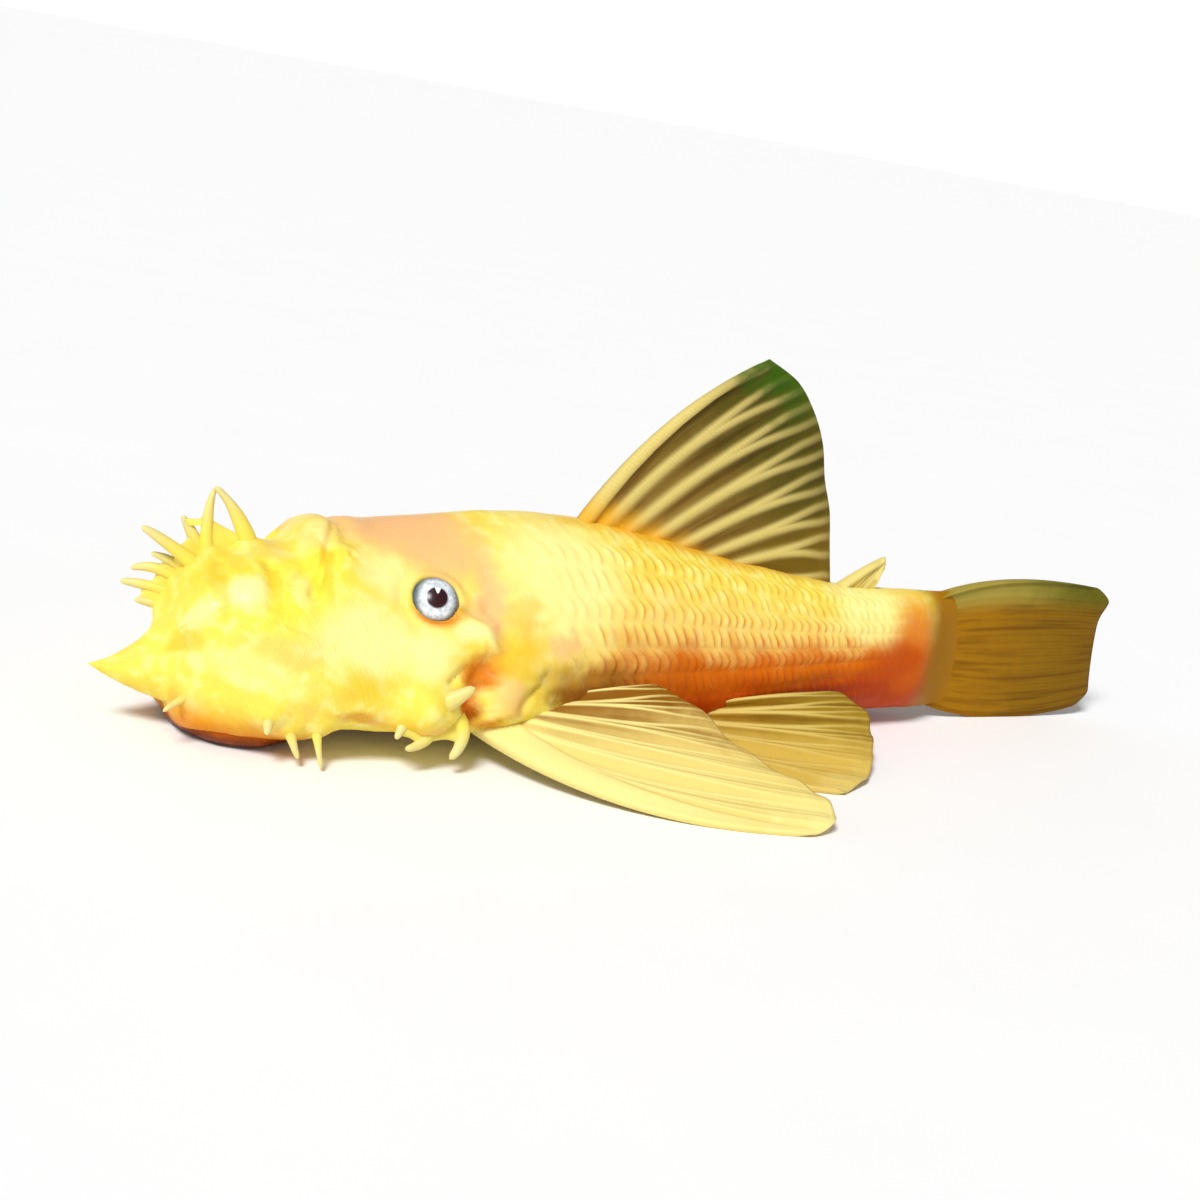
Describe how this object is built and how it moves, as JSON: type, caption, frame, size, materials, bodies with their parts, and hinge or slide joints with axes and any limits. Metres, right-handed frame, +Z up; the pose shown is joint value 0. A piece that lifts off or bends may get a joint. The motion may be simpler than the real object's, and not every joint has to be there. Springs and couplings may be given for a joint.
{
  "type": "bristlenose pleco",
  "caption": "Still, life-size albino bristlenose pleco with a bristled snout, plated flanks and spread fins, resting on its sucker mouth and fin tips.",
  "frame": {"origin": "on the floor under the middle of the closing box, which is the middle of the fish's width and length", "axes": "+Z up; the fish heads along -Y with its tail along +Y; its left side faces +X"},
  "size_m": [0.0638, 0.1206, 0.0386],
  "materials": {
    "skin": "soft wet lemon-yellow skin of the head, snout and bristles",
    "plates": "golden bony plates going orange along the belly",
    "lips": "orange-brown fleshy lips of the sucker mouth",
    "eye": "glossy silver-white eye with a dark notched pupil",
    "fin": "olive-yellow fin membrane with raised cream rays"
  },
  "bodies": {
    "root": {"head": "skin", "trunk": "plates", "tail": "plates", "mouth": "lips", "eye_left": "eye", "eye_right": "eye", "dorsal_fin": "fin", "adipose_fin": "fin", "anal_fin": "fin", "caudal_fin": "fin", "pectoral_fin_left": "fin", "pectoral_fin_right": "fin", "pelvic_fin_left": "fin", "pelvic_fin_right": "fin"}
  },
  "joints": []
}
